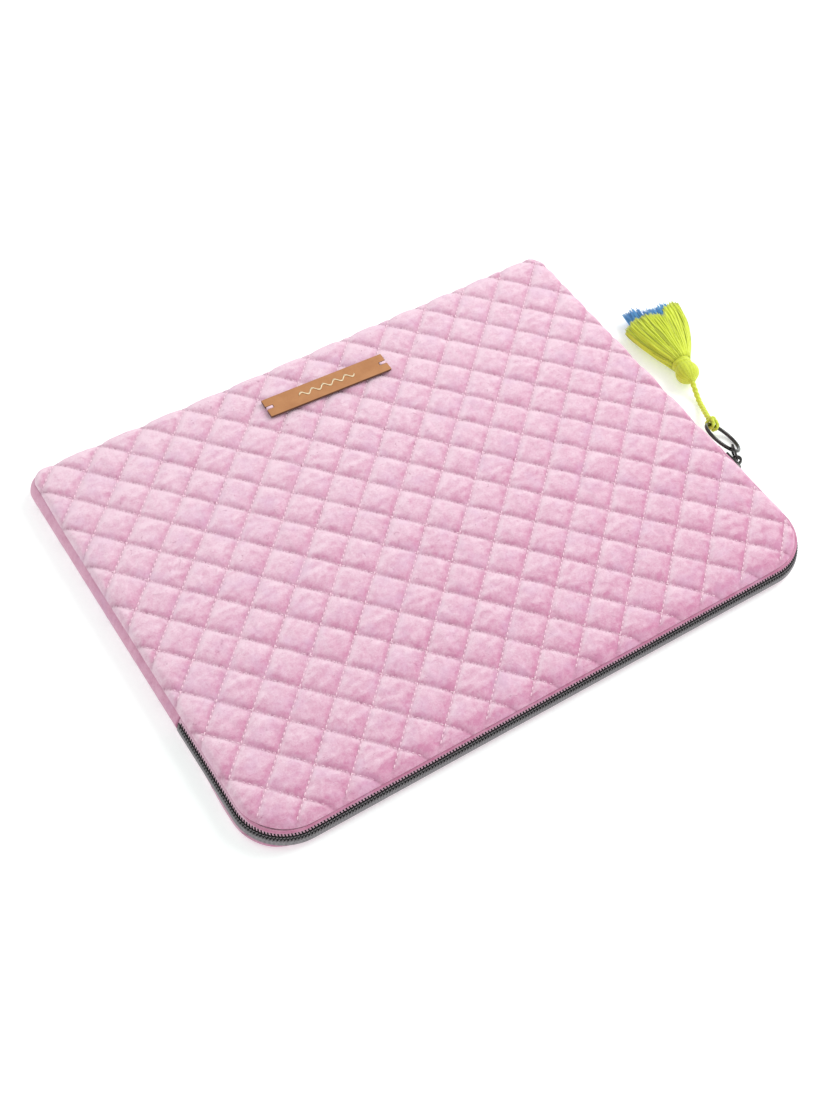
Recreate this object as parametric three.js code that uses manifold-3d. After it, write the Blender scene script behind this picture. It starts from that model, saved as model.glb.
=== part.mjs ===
// Quilted velvet laptop sleeve, lying flat on its back with the zip edge to the front.
// Millimetres. X runs along the zip edge, Y from the zip edge to the closed edge, Z is up.
// The origin is the middle of the underside.

import * as THREE from 'three';
import { mergeVertices } from 'three/addons/utils/BufferGeometryUtils.js';
import Module from 'manifold-3d';

const wasm = await Module();
wasm.setup();

// ---- driving dimensions of the sleeve ----
const HALF_WIDTH = 170;
const HALF_DEPTH = 132;
const FRONT_RADIUS = 28;
const BACK_RADIUS = 12;
const TOP_Z = 18.5;
const GAP = 0.3; // between pieces that touch on the real sleeve
const ARC_STEPS = 8; // per quarter corner

// The side wall is widest at WIDEST_Z and leans in by SEAM_INSET where the top panel is sewn on.
const WIDEST_Z = 5;
const SEAM_Z = 13.5;
const SEAM_INSET = 2.2;

// ---- layers, from the table up ----
const SKIN = 1.0; // velvet on the underside
const RIM_TOP = 3.3; // where the bottom panel is sewn to the wall
const RIM_WIDTH = 2.5; // turned-over velvet round each panel
const FILL_INSET = RIM_WIDTH + GAP; // wadding and lining start here
const WALL_BOTTOM = RIM_TOP + GAP;
const WALL_TOP = SEAM_Z - GAP;
const BOTTOM_LINING_TOP = 4.2;
const TOP_LINING_BOTTOM = 11.8;
const TOP_LINING_TOP = 12.4;
const TOP_SKIN_BOTTOM = 17.0; // quilted velvet of the top panel

// ---- zip ----
const ZIP_END_Y = -47; // the zip stops here on both sides
const ZIP_MID_Z = 8.15; // where the two rows meet
const COIL_HEIGHT = 1.7;
const COIL_THICKNESS = 1.1;
const TAPE_INSET = 1.4;
const TAPE_THICKNESS = 0.8;
const STOP_LENGTH = 1.9;
const COIL_END_Y = ZIP_END_Y - STOP_LENGTH - 2 * GAP;
const LIP_BOTTOM = 11.8;
const LIP_PROUD = 0.2;
const GUSSET_THICKNESS = 1.6;
const LINING_THICKNESS = 0.5;

// The mouth folds open along this line, just in front of the ends of the zip.
const FOLD_Y = -64;

// ---- zip slider, link and ring on the right-hand side ----
const SLIDER_Y = -58;
const SLIDER_LENGTH = 12;
const SLIDER_HALF_HEIGHT = 3.3;
const SLIDER_FACE = 1.85; // outer face, out from the wall
const HINGE_OUT = 3.65; // link hinge, out from the wall
const BAIL_INNER = 1.7;
const BAIL_OUTER = 2.9;
const LINK_BAR = 1.2;
const LINK_WINDOW = 5.0;
const RING_RADIUS = 11.4; // to the middle of the wire
const RING_WIRE = 1.1;
const RING_TILT = THREE.MathUtils.degToRad(38); // its outer side rests on the table
const RING_X = 177.4;
const RING_Y = -40.5;
const RING_LIFT = 0.1;

// ---- tassel ----
const KNOT_TURN = THREE.MathUtils.degToRad(78); // place on the ring, from its outermost point
const KNOT_RADIUS = 3.2;
const KNOT_LENGTH = 5.6;
const TASSEL_X = 184.2;
const TASSEL_Y = -27.4;
const TASSEL_TURN = THREE.MathUtils.degToRad(11.4); // away from the sleeve, from the +Y axis
const CORD_RADIUS = 1.4;
const HEAD_AT = 38; // all tassel places are measured along it, starting beside the knot
const HEAD_RADIUS = 6.9;
const HEAD_Z = 7.3;
const NECK_AT = 43.6;
const SKIRT_AT = 47.3;
const SKIRT_END = 84;
const INNER_START = 60;
const INNER_END = 98;
const SKIRT_NECK_RADIUS = 6;
const SKIRT_TIP_RADIUS = 20.5;
const SKIRT_WALL = 2;

// ---- label ----
const LABEL = { x: 1.5, y: 98.7, turn: -2.7, length: 76, width: 13.3, thickness: 1.5 };
const NOTCH = { depth: 4.4, width: 2.2 };

// ---- materials ----
const fabric = (color) => new THREE.MeshStandardMaterial({ color, roughness: 0.9, metalness: 0 });
const metal = (color, roughness) => new THREE.MeshStandardMaterial({ color, roughness, metalness: 1 });
const velvet = fabric(0xdba4c2);
const wadding = fabric(0xf2efe9);
const lining = fabric(0xc9a3b4);
const tape = fabric(0x4a494c);
const coil = metal(0x2c2a2d, 0.45);
const gunmetal = metal(0x3d3b3a, 0.25);
const leather = new THREE.MeshStandardMaterial({ color: 0xb98150, roughness: 0.6, metalness: 0 });
const foil = metal(0xefdcb8, 0.4);
const thread = fabric(0xf3c4da);
const limeYarn = fabric(0xd9e840);
const blueYarn = fabric(0x3f7fd0);

const sleeve = new THREE.Group();

function add(name, geometry, material, parent = sleeve) {
  const mesh = new THREE.Mesh(geometry, material);
  mesh.name = name;
  parent.add(mesh);
  return mesh;
}

// ---- plan outline and leaning wall ----

// How far the wall has leaned in at height z.
function wallInset(z) {
  return SEAM_INSET * ((z - WIDEST_Z) / (SEAM_Z - WIDEST_Z)) ** 2;
}

// Moves every point inwards, square to the outline, by the wall's lean at its height.
function lean(geometry) {
  const position = geometry.getAttribute('position');
  for (let i = 0; i < position.count; i++) {
    const [x, y, z] = [position.getX(i), position.getY(i), position.getZ(i)];
    const radius = y < 0 ? FRONT_RADIUS : BACK_RADIUS;
    const outX = Math.sign(x) * Math.max(Math.abs(x) - (HALF_WIDTH - radius), 0);
    const outY = Math.sign(y) * Math.max(Math.abs(y) - (HALF_DEPTH - radius), 0);
    const distance = Math.hypot(outX, outY) || 1;
    const inset = wallInset(z);
    position.setXYZ(i, x - inset * outX / distance, y - inset * outY / distance, z);
  }
  return geometry;
}

// Points round one end of the outline, counter-clockwise, both ends stopping at cutY.
// end is -1 for the zip end and 1 for the closed end.
function endPoints(end, inset, cutY) {
  const radius = (end < 0 ? FRONT_RADIUS : BACK_RADIUS) - inset;
  const centreX = HALF_WIDTH - inset - radius;
  const centreY = HALF_DEPTH - inset - radius;
  const points = [new THREE.Vector2(end * (HALF_WIDTH - inset), cutY)];
  for (const [x, start] of [[centreX, 0], [-centreX, Math.PI / 2]]) {
    for (let step = 0; step <= ARC_STEPS; step++) {
      const angle = start + (step / ARC_STEPS) * (Math.PI / 2);
      const px = x + radius * Math.cos(angle);
      const py = centreY + radius * Math.sin(angle);
      points.push(new THREE.Vector2(end * px, end * py));
    }
  }
  points.push(new THREE.Vector2(-end * (HALF_WIDTH - inset), cutY));
  return points;
}

function wholeOutline(inset) {
  return [...endPoints(-1, inset, 0).slice(1, -1), ...endPoints(1, inset, 0).slice(1, -1)];
}

function upright(points, z0, z1) {
  const shape = new THREE.Shape(points);
  const geometry = new THREE.ExtrudeGeometry(shape, { depth: z1 - z0, bevelEnabled: false });
  return geometry.translate(0, 0, z0);
}

const wholePanel = (inset, z0, z1) => lean(upright(wholeOutline(inset), z0, z1));

// Flat layer of one side of the fold.
function halfPanel(end, inset, z0, z1) {
  return lean(upright(endPoints(end, inset, FOLD_Y + end * GAP / 2), z0, z1));
}

// Wall strip round one end of the sleeve, between two insets.
function wallStrip(end, outerInset, innerInset, cutY, z0, z1) {
  const outer = endPoints(end, outerInset, cutY);
  const inner = endPoints(end, innerInset, cutY).reverse();
  return lean(upright([...outer, ...inner], z0, z1));
}

// Straight piece of wall strip on the left (side -1) or right (side 1).
function sideStrip(side, outerInset, innerInset, y0, y1, z0, z1) {
  const x0 = side * (HALF_WIDTH - outerInset);
  const x1 = side * (HALF_WIDTH - innerInset);
  const corners = [[x0, y0], [x0, y1], [x1, y1], [x1, y0]];
  const points = corners.map(([x, y]) => new THREE.Vector2(x, y));
  return lean(upright(side > 0 ? points : points.reverse(), z0, z1));
}

// ---- boolean cut ----

function toSolid(geometry) {
  const bare = geometry.clone();
  bare.deleteAttribute('normal');
  bare.deleteAttribute('uv');
  const merged = mergeVertices(bare, 1e-4);
  const mesh = new wasm.Mesh({
    numProp: 3,
    vertProperties: new Float32Array(merged.getAttribute('position').array),
    triVerts: new Uint32Array(merged.getIndex().array),
  });
  return new wasm.Manifold(mesh);
}

function cut(geometry, tool) {
  const { vertProperties, triVerts } = toSolid(geometry).subtract(toSolid(tool)).getMesh();
  const result = new THREE.BufferGeometry();
  result.setAttribute('position', new THREE.BufferAttribute(vertProperties, 3));
  result.setIndex(new THREE.BufferAttribute(triVerts, 1));
  return result;
}

// ---- bottom panel ----

function makeBottomPanel() {
  const block = upright(wholeOutline(0), 0, RIM_TOP);
  const hollow = upright(wholeOutline(RIM_WIDTH), SKIN, RIM_TOP + 1);
  add('bottom_velvet', lean(cut(block, hollow)), velvet);
  add('bottom_wadding', wholePanel(FILL_INSET, SKIN + GAP, RIM_TOP), wadding);
  add('bottom_lining', wholePanel(FILL_INSET, WALL_BOTTOM, BOTTOM_LINING_TOP), lining);
}

// ---- top panel, in two halves that meet at the fold ----

function makeTopHalf(prefix, end) {
  const block = upright(endPoints(end, 0, FOLD_Y + end * GAP / 2), SEAM_Z, TOP_Z);
  const hollow = upright(endPoints(end, RIM_WIDTH, FOLD_Y - end), SEAM_Z - 1, TOP_SKIN_BOTTOM);
  add(`${prefix}_velvet`, lean(cut(block, hollow)), velvet);
  const fill = halfPanel(end, FILL_INSET, TOP_LINING_TOP + GAP, TOP_SKIN_BOTTOM - GAP);
  add(`${prefix}_wadding`, fill, wadding);
  const inside = halfPanel(end, FILL_INSET, TOP_LINING_BOTTOM, TOP_LINING_TOP);
  add(`${prefix}_lining`, inside, lining);
}

// ---- wall behind the zip ----

function makeGusset() {
  const start = ZIP_END_Y + GAP;
  const outside = wallStrip(1, 0, GUSSET_THICKNESS, start, WALL_BOTTOM, WALL_TOP);
  add('gusset_velvet', outside, velvet);
  const from = GUSSET_THICKNESS + GAP;
  const inside = wallStrip(1, from, from + LINING_THICKNESS, start, WALL_BOTTOM, WALL_TOP);
  add('gusset_lining', inside, lining);
}

// ---- zip: one lower half all round, and an upper half cut at the fold ----

const TAPE = [TAPE_INSET, TAPE_INSET + TAPE_THICKNESS];
const COIL = [0, COIL_THICKNESS];
const LIP = [-LIP_PROUD, COIL_THICKNESS];
const LOWER_TOP = ZIP_MID_Z - GAP / 2;
const UPPER_BOTTOM = ZIP_MID_Z + GAP / 2;

function makeLowerZip() {
  add('lower_tape', wallStrip(-1, ...TAPE, ZIP_END_Y, WALL_BOTTOM, LOWER_TOP), tape);
  const row = wallStrip(-1, ...COIL, COIL_END_Y, LOWER_TOP - COIL_HEIGHT, LOWER_TOP);
  add('lower_coil', row, coil);
}

function makeUpperZip() {
  const rows = [
    ['upper_tape', TAPE, ZIP_END_Y, UPPER_BOTTOM, WALL_TOP, tape],
    ['upper_coil', COIL, COIL_END_Y, UPPER_BOTTOM, UPPER_BOTTOM + COIL_HEIGHT, coil],
    ['upper_lip', LIP, ZIP_END_Y, LIP_BOTTOM, WALL_TOP, velvet],
  ];
  for (const [name, insets, endY, z0, z1, material] of rows) {
    add(`${name}_front`, wallStrip(-1, ...insets, FOLD_Y - GAP / 2, z0, z1), material);
    for (const [label, side] of [['left', -1], ['right', 1]]) {
      const piece = sideStrip(side, ...insets, FOLD_Y + GAP / 2, endY, z0, z1);
      add(`${name}_${label}_end`, piece, material);
    }
  }
}

function makeZipStops() {
  const y1 = ZIP_END_Y - GAP;
  for (const [label, side] of [['left', -1], ['right', 1]]) {
    const low = LOWER_TOP - COIL_HEIGHT;
    const high = UPPER_BOTTOM + COIL_HEIGHT;
    const stop = sideStrip(side, ...COIL, y1 - STOP_LENGTH, y1, low, high);
    add(`zip_stop_${label}`, stop, gunmetal);
  }
}

// ---- slider: its frame is on the right-hand wall, x out of the wall and z up along it ----

const wallSlope = 2 * SEAM_INSET * (ZIP_MID_Z - WIDEST_Z) / (SEAM_Z - WIDEST_Z) ** 2;
const wallTilt = Math.atan(wallSlope);
const sliderFrame = new THREE.Group();
sliderFrame.position.set(HALF_WIDTH - wallInset(ZIP_MID_Z), SLIDER_Y, ZIP_MID_Z);
sliderFrame.rotation.y = -wallTilt;
sliderFrame.updateMatrixWorld();
sleeve.add(sliderFrame);

const vectors = (pairs) => pairs.map(([x, y]) => new THREE.Vector2(x, y));

// Channel that straddles both rows from outside, drawn across the zip and run along it.
function makeSlider() {
  const lipIn = -0.9;
  const plateIn = 0.35;
  const lipInner = SLIDER_HALF_HEIGHT - 0.85;
  const channel = vectors([
    [lipIn, -SLIDER_HALF_HEIGHT], [SLIDER_FACE, -SLIDER_HALF_HEIGHT],
    [SLIDER_FACE, SLIDER_HALF_HEIGHT], [lipIn, SLIDER_HALF_HEIGHT],
    [lipIn, lipInner], [plateIn, lipInner], [plateIn, -lipInner], [lipIn, -lipInner],
  ]);
  const body = upright(channel, -SLIDER_LENGTH / 2, SLIDER_LENGTH / 2).rotateX(Math.PI / 2);
  add('slider_body', body, gunmetal, sliderFrame);

  const behindTape = 2.85;
  const plate = new THREE.BoxGeometry(1, SLIDER_LENGTH - 2, 2 * (SLIDER_HALF_HEIGHT - 0.4));
  add('slider_inner_plate', plate.translate(-behindTape - 0.5, 0, 0), gunmetal, sliderFrame);
}

// Half-round eye over the slider, round the link's hinge.
function makeBail() {
  const foot = SLIDER_FACE + GAP;
  const half = Math.PI / 2;
  const shape = new THREE.Shape();
  shape.moveTo(foot, -BAIL_OUTER);
  shape.lineTo(HINGE_OUT, -BAIL_OUTER);
  shape.absarc(HINGE_OUT, 0, BAIL_OUTER, -half, half, false);
  shape.lineTo(foot, BAIL_OUTER);
  shape.lineTo(foot, BAIL_INNER);
  shape.lineTo(HINGE_OUT, BAIL_INNER);
  shape.absarc(HINGE_OUT, 0, BAIL_INNER, half, -half, true);
  shape.lineTo(foot, -BAIL_INNER);
  shape.closePath();
  const thickness = 1.8;
  const options = { depth: thickness, bevelEnabled: false, curveSegments: 10 };
  const eye = new THREE.ExtrudeGeometry(shape, options).translate(0, 0, -thickness / 2);
  add('slider_bail', eye, gunmetal, sliderFrame);
}

// ---- ring and link ----

const ringCentre = new THREE.Vector3(
  RING_X, RING_Y, RING_WIRE + RING_LIFT + RING_RADIUS * Math.sin(RING_TILT));
const ringDown = new THREE.Vector3(Math.cos(RING_TILT), 0, -Math.sin(RING_TILT));
const ringNormal = new THREE.Vector3(Math.sin(RING_TILT), 0, Math.cos(RING_TILT));
const ringBack = new THREE.Vector3(0, 1, 0);
const hinge = sliderFrame.localToWorld(new THREE.Vector3(HINGE_OUT, 0, 0));

// The point of the ring nearest to the link's hinge.
const ringEye = hinge.clone().sub(ringCentre).projectOnPlane(ringNormal).setLength(RING_RADIUS).add(ringCentre);
const linkDirection = ringEye.clone().sub(hinge).normalize();
const hingeAxis = new THREE.Vector3(-Math.sin(wallTilt), 0, Math.cos(wallTilt))
  .projectOnPlane(linkDirection).normalize();
const linkNormal = linkDirection.clone().cross(hingeAxis);

// Flat oblong loop, from the bail to the ring.
function makeLink() {
  const reach = hinge.distanceTo(ringEye) + RING_WIRE + GAP;
  const halfWindow = LINK_WINDOW / 2;
  const halfBar = LINK_BAR / 2;
  const outer = halfWindow + LINK_BAR;
  const shape = new THREE.Shape(vectors([
    [-halfBar, -outer + 0.8], [0.2, -outer], [reach + 0.4, -outer], [reach + LINK_BAR, -outer + 0.8],
    [reach + LINK_BAR, outer - 0.8], [reach + 0.4, outer], [0.2, outer], [-halfBar, outer - 0.8],
  ]));
  shape.holes.push(new THREE.Path(vectors([
    [halfBar, -halfWindow], [halfBar, halfWindow], [reach, halfWindow], [reach, -halfWindow],
  ])));
  const thickness = 1.1;
  const geometry = new THREE.ExtrudeGeometry(shape, { depth: thickness, bevelEnabled: false });
  const link = add('pull_link', geometry.translate(0, 0, -thickness / 2), gunmetal);
  link.position.copy(hinge);
  const basis = new THREE.Matrix4().makeBasis(linkDirection, hingeAxis, linkNormal);
  link.quaternion.setFromRotationMatrix(basis);
}

function makeRing() {
  const ring = add('pull_ring', new THREE.TorusGeometry(RING_RADIUS, RING_WIRE, 10, 40), gunmetal);
  ring.position.copy(ringCentre);
  ring.rotation.y = RING_TILT;
}

// ---- tassel: its frame starts beside the knot, y along the tassel and z up from the table ----

const knotCentre = ringCentre.clone()
  .addScaledVector(ringDown, RING_RADIUS * Math.cos(KNOT_TURN))
  .addScaledVector(ringBack, RING_RADIUS * Math.sin(KNOT_TURN));
const tasselFrame = new THREE.Group();
tasselFrame.position.set(TASSEL_X, TASSEL_Y, 0);
tasselFrame.rotation.z = -TASSEL_TURN;
sleeve.add(tasselFrame);

// Solid of revolution about the y axis; the profile lists [radius, y].
const turned = (profile, segments = 20) => new THREE.LatheGeometry(vectors(profile), segments);

// Hitch of cord round the ring's wire.
function makeKnot() {
  const bore = RING_WIRE + 0.5;
  const shoulder = KNOT_RADIUS - 1.1;
  const half = KNOT_LENGTH / 2;
  const profile = [
    [bore, -half], [shoulder, -half], [KNOT_RADIUS, -half + 1.2], [KNOT_RADIUS, half - 1.2],
    [shoulder, half], [bore, half], [bore, -half],
  ];
  const knot = add('tassel_knot', turned(profile, 16), limeYarn);
  const tangent = ringDown.clone().multiplyScalar(-Math.sin(KNOT_TURN))
    .addScaledVector(ringBack, Math.cos(KNOT_TURN));
  knot.position.copy(knotCentre);
  knot.quaternion.setFromUnitVectors(new THREE.Vector3(0, 1, 0), tangent);
}

// Cord from the knot to the head, resting on the table between them.
function makeCord() {
  const route = [
    [-3.9, 2.2, 6.4], [-2.9, 7.5, 5.0], [-1.6, 13, 3.2], [-0.5, 18.5, 1.9], [0, 24, 3.0], [0, 30.2, 6.2],
  ];
  const path = new THREE.CatmullRomCurve3(route.map((point) => new THREE.Vector3(...point)));
  const sides = 8;
  const section = Array.from({ length: sides }, (_, i) => {
    const angle = (i / sides) * 2 * Math.PI;
    return new THREE.Vector2(CORD_RADIUS * Math.cos(angle), CORD_RADIUS * Math.sin(angle));
  });
  const options = { steps: 10, extrudePath: path, bevelEnabled: false };
  add('tassel_cord', new THREE.ExtrudeGeometry(new THREE.Shape(section), options), limeYarn, tasselFrame);
}

// Round head and the thread bound round its neck.
function makeHead() {
  const profile = [[0, -HEAD_RADIUS]];
  const rings = 9;
  for (let i = 1; i <= rings; i++) {
    const angle = -Math.PI / 2 + (i / rings) * Math.PI * 0.79;
    profile.push([HEAD_RADIUS * Math.cos(angle), HEAD_RADIUS * Math.sin(angle)]);
  }
  profile.push([0, profile[rings][1]]);
  const head = turned(profile).translate(0, HEAD_AT, HEAD_Z);
  add('tassel_head', head, limeYarn, tasselFrame);

  const binding = [[0, 0], [4.9, 0], [5.6, 0.8], [5.6, 2.6], [4.9, 3.4], [0, 3.4]];
  add('tassel_binding', turned(binding).translate(0, NECK_AT, HEAD_Z), limeYarn, tasselFrame);
}

function skirtRadius(along) {
  const t = Math.min((along - SKIRT_AT) / (SKIRT_END - SKIRT_AT), 1);
  return SKIRT_NECK_RADIUS + (SKIRT_TIP_RADIUS - SKIRT_NECK_RADIUS) * Math.sin(t * Math.PI / 2);
}

// Flattens the skirt's cross-section to the height of the head, as it lies on the table.
function layFlat(geometry) {
  const position = geometry.getAttribute('position');
  for (let i = 0; i < position.count; i++) {
    const squash = Math.min(1, HEAD_RADIUS / skirtRadius(position.getY(i)));
    position.setZ(i, HEAD_Z + position.getZ(i) * squash);
  }
  return geometry;
}

function stations(from, to, offset) {
  const count = 7;
  return Array.from({ length: count }, (_, i) => {
    const along = from + (i / (count - 1)) * (to - from);
    return [skirtRadius(along) - offset, along];
  });
}

function makeSkirts() {
  const hollowStart = INNER_START - 3;
  const profile = [
    [0, SKIRT_AT], ...stations(SKIRT_AT, SKIRT_END, 0),
    ...stations(SKIRT_END, INNER_START, SKIRT_WALL), [0, hollowStart],
  ];
  add('tassel_skirt', layFlat(turned(profile)), limeYarn, tasselFrame);

  const offset = SKIRT_WALL + 2 * GAP;
  const inner = [
    [0, INNER_START], ...stations(INNER_START, SKIRT_END, offset),
    [SKIRT_TIP_RADIUS - offset, INNER_END - 3], [SKIRT_TIP_RADIUS - offset - 3, INNER_END], [0, INNER_END],
  ];
  add('tassel_inner_skirt', layFlat(turned(inner)), blueYarn, tasselFrame);
}

// ---- leather label, held by a thread in the notch at each end ----

const labelFrame = new THREE.Group();
labelFrame.position.set(LABEL.x, LABEL.y, TOP_Z + GAP);
labelFrame.rotation.z = THREE.MathUtils.degToRad(LABEL.turn);
sleeve.add(labelFrame);

function makeLabel() {
  const halfLength = LABEL.length / 2;
  const halfWidth = LABEL.width / 2;
  const halfNotch = NOTCH.width / 2;
  const notchEnd = halfLength - NOTCH.depth;
  const outline = vectors([
    [-halfLength, -halfWidth], [halfLength, -halfWidth], [halfLength, -halfNotch], [notchEnd, -halfNotch],
    [notchEnd, halfNotch], [halfLength, halfNotch], [halfLength, halfWidth], [-halfLength, halfWidth],
    [-halfLength, halfNotch], [-notchEnd, halfNotch], [-notchEnd, -halfNotch], [-halfLength, -halfNotch],
  ]);
  add('leather_label', upright(outline, 0, LABEL.thickness), leather, labelFrame);

  const bar = new THREE.BoxGeometry(NOTCH.depth - 2 * GAP, NOTCH.width - 2 * GAP, LABEL.thickness);
  for (const [label, side] of [['left', -1], ['right', 1]]) {
    const stitch = bar.clone().translate(side * (notchEnd + NOTCH.depth / 2), 0, LABEL.thickness / 2);
    add(`label_stitch_${label}`, stitch, thread, labelFrame);
  }
}

// Foil motif: one wavy line along the label.
function makeMotif() {
  const waves = 5;
  const waveLength = 7;
  const swing = 1.5;
  const halfLine = 0.5;
  const stepsPerWave = 8;
  const upperEdge = [];
  const lowerEdge = [];
  for (let i = 0; i <= waves * stepsPerWave; i++) {
    const x = (i / stepsPerWave - waves / 2) * waveLength;
    const y = swing * Math.sin((i / stepsPerWave) * 2 * Math.PI);
    upperEdge.push([x, y + halfLine]);
    lowerEdge.push([x, y - halfLine]);
  }
  const outline = vectors([...lowerEdge, ...upperEdge.reverse()]);
  const lift = LABEL.thickness + 0.1;
  add('label_motif', upright(outline, lift, lift + 0.2), foil, labelFrame);
}

makeBottomPanel();
makeTopHalf('rear_top', 1);
makeTopHalf('flap', -1);
makeGusset();
makeLowerZip();
makeUpperZip();
makeZipStops();
makeSlider();
makeBail();
makeLink();
makeRing();
makeKnot();
makeCord();
makeHead();
makeSkirts();
makeLabel();
makeMotif();

export default sleeve;
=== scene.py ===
"""Looks of a quilted velvet laptop sleeve: zip round three sides, ring pull with a tassel, leather label.

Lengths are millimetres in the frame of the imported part, and MM turns them into metres.
"""

import math

import bmesh
import bpy
import numpy as np
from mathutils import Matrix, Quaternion, Vector


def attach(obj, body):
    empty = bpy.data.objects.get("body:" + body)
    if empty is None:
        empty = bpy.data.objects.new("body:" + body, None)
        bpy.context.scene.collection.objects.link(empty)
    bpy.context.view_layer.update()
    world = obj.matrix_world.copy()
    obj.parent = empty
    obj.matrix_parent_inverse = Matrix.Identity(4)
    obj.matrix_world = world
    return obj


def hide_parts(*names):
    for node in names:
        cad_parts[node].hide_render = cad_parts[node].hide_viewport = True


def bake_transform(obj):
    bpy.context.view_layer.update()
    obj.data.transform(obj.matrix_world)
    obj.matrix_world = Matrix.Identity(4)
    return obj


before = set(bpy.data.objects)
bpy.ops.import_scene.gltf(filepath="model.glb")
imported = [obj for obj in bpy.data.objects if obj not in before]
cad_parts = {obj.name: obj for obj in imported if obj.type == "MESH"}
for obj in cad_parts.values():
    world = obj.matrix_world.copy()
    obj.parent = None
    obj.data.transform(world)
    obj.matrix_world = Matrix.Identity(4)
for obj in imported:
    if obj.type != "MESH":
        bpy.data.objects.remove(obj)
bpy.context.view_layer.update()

MM = 0.001

# ---- plan outline, the same as the part's ----
HALF_WIDTH = 170
HALF_DEPTH = 132
FRONT_RADIUS = 28
BACK_RADIUS = 12
WIDEST_Z = 5
SEAM_Z = 13.5
SEAM_INSET = 2.2
COIL_MID_Z = 8.15  # where the two rows of the zip meet

# ---- quilting: seams cross at the corners of diamonds ----
QUILT_X = -137.89  # one crossing
QUILT_Y = -90.68
STEP_X = 13.075  # half a diamond across
STEP_Y = 13.615
SKEW_X = 0.720  # the quilting lies a little askew
SKEW_Y = 0.240
SEAM_SPACING = 18.9  # between neighbouring seams, square to them
STITCH_PITCH = 3.1
STITCH_LENGTH = 2.3
SUNK_FIRST = 0.24  # how deep the stitches lie in the seams of the first direction
SUNK_SECOND = -0.05  # and of the second, which hold them higher
TOP_CROWN = 18.2  # height of the pillows' tops
PILLOW = 2.1  # depth of a seam below them
FLOOR_GAP = 0.02  # from the table to the underside
MESH_STEP = 1.15  # size of the panels' quads
OVERHANG = 0.7  # how far the top panel sags out over the zip on the left
FRONT_SAG = 1.1  # and at the front
FRONT_TUCK = 1.3  # how far the bottom panel's edge is drawn in at the front
LEFT_SPREAD = 1.3  # and how far it spreads out on the left
SAG_Z = 14.1  # height at which the top panel sags furthest
SAG_SPAN = 0.9
BAND = 4.6  # the panels' faces are a grid up to this inset, and rings beyond it
# (inset, how far the top's face lies below its crown)
ROLL = [(0, 5.0), (3.2, 3.4), (3.5, 2.6), (3.9, 1.8), (4.6, 1.1), (5.6, 0.65), (7, 0.35), (9, 0.1), (12, 0)]

# ---- edges of the panels, ring by ring: inset, height, share of the quilting that shows ----
TOP_RINGS = [(4.15, 15.85, 0.8), (3.75, 15.25, 0.7), (3.45, 14.65, 0.5), (3.25, 14.15, 0.3),
             (3.15, 13.8, 0.1), (3.35, 13.5, 0), (4.3, 13.6, 0), (4.9, 14.1, 0), (5.2, 14.6, 0)]
BOTTOM_RINGS = [(3.8, 0.5, 0.4), (2.8, 0.7, 0.35), (1.9, 1.05, 0.3), (1.1, 1.55, 0.2), (0.5, 2.1, 0.1),
                (0.2, 2.65, 0), (0.3, 3.1, 0), (0.9, 3.4, 0), (2.0, 3.45, 0), (3.2, 3.3, 0), (3.7, 2.8, 0),
                (4.0, 2.2, 0)]

# ---- zip ----
PITCH = 1.72
COIL_WIRE = 0.37  # radius of the nylon
COIL_HEAD = -0.5  # a tooth's head, measured back from the middle of the zip: it reaches past it
LOCK_THREAD = 0.27  # radius of the sewing thread over each coil
ZIP_HALF = 243.0  # from the middle of the front edge to an end of the zip, along the outline
COIL_HALF = 240.0  # and to an end of its teeth
SLIDER_RUN = 232  # and to the middle of the slider
ZIP_SIDE = 57  # how much of the zip is on either straight side


# ---------------------------------------------------------------- small tools


def smooth_noise(x, y, seed):
    """Noise from about -0.7 to 0.7 with one bump per unit."""
    xi, yi = np.floor(x).astype(np.int64), np.floor(y).astype(np.int64)
    xf, yf = x - xi, y - yi

    def corner(dx, dy):
        h = (xi + dx) * 374761393 + (yi + dy) * 668265263 + seed * 362437
        h = ((h ^ (h >> 13)) * 1274126177) & 0x7FFFFFFF
        angle = (h & 0xFFFF) / 0xFFFF * 2 * np.pi
        return np.cos(angle) * (xf - dx) + np.sin(angle) * (yf - dy)

    u = xf**3 * (xf * (xf * 6 - 15) + 10)
    v = yf**3 * (yf * (yf * 6 - 15) + 10)
    front = corner(0, 0) * (1 - u) + corner(1, 0) * u
    back = corner(0, 1) * (1 - u) + corner(1, 1) * u
    return front * (1 - v) + back * v


def smoothstep(low, high, value):
    """0 at low and 1 at high; low may be the larger of the two."""
    t = np.clip((value - low) / (high - low), 0, 1)
    return t * t * (3 - 2 * t)


def grid_faces(rows, columns, closed=False):
    """Quads between the rows of a grid of points; closed joins the last column to the first."""
    i = np.arange(rows - 1)[:, None] * columns
    j = np.arange(columns if closed else columns - 1)[None, :]
    k = (j + 1) % columns
    quads = np.stack([i + j, i + k, i + columns + k, i + columns + j], axis=-1)
    return quads.reshape(-1, 4).tolist()


def make(name, points, faces, material):
    """A mesh object from points in millimetres, its faces turned outwards."""
    mesh = bpy.data.meshes.new(name)
    mesh.from_pydata((np.asarray(points, float) * MM).tolist(), [], faces)
    mesh.update()
    solid = bmesh.new()
    solid.from_mesh(mesh)
    bmesh.ops.recalc_face_normals(solid, faces=solid.faces)
    solid.to_mesh(mesh)
    solid.free()
    mesh.shade_smooth()
    mesh.materials.append(material)
    made = bpy.data.objects.new(name, mesh)
    bpy.context.scene.collection.objects.link(made)
    return made


def add_values(obj, name, values):
    """A number for each vertex, which the materials read."""
    attribute = obj.data.attributes.new(name, "FLOAT", "POINT")
    attribute.data.foreach_set("value", np.asarray(values, np.float32))


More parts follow.
